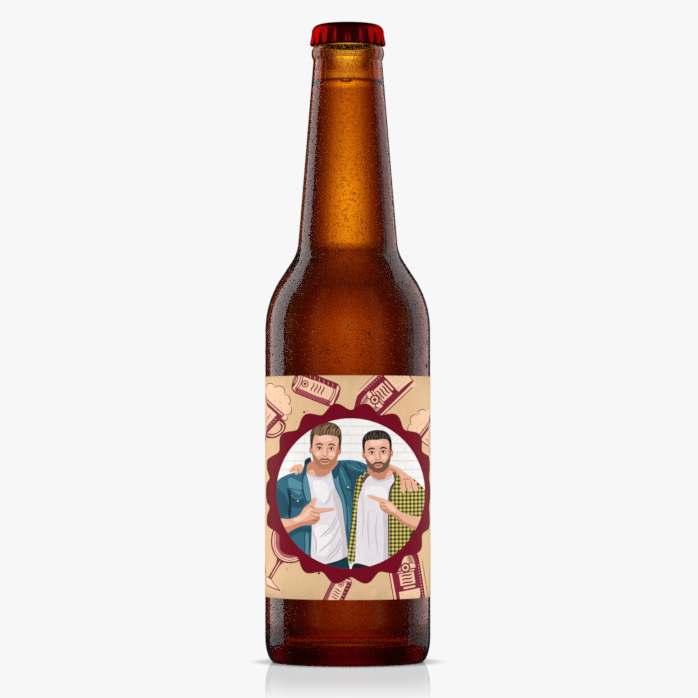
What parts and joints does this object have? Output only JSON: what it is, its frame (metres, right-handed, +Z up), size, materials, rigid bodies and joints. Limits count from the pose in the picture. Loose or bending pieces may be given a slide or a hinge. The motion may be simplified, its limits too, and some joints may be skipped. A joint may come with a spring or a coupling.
{
  "type": "beer bottle",
  "caption": "Capped long-neck glass bottle of beer with a wrap-round paper label; it holds the drink sealed until the crimped metal cap is levered off.",
  "frame": {"origin": "centre of the base ring, on the plane the bottle stands on", "axes": "+Z up the bottle's axis, -Y towards the front of the label, +X to the right of the label's front"},
  "size_m": [0.0614, 0.0615, 0.2368],
  "materials": {
    "amber_glass": "gloss, amber, misted with fine droplets",
    "beer": "clear amber drink",
    "red_lacquer": "gloss",
    "label_paper": "satin, printed"
  },
  "bodies": {
    "root": {"bottle_glass": "amber_glass", "beer": "beer", "cap": "red_lacquer", "label": "label_paper"}
  },
  "joints": []
}
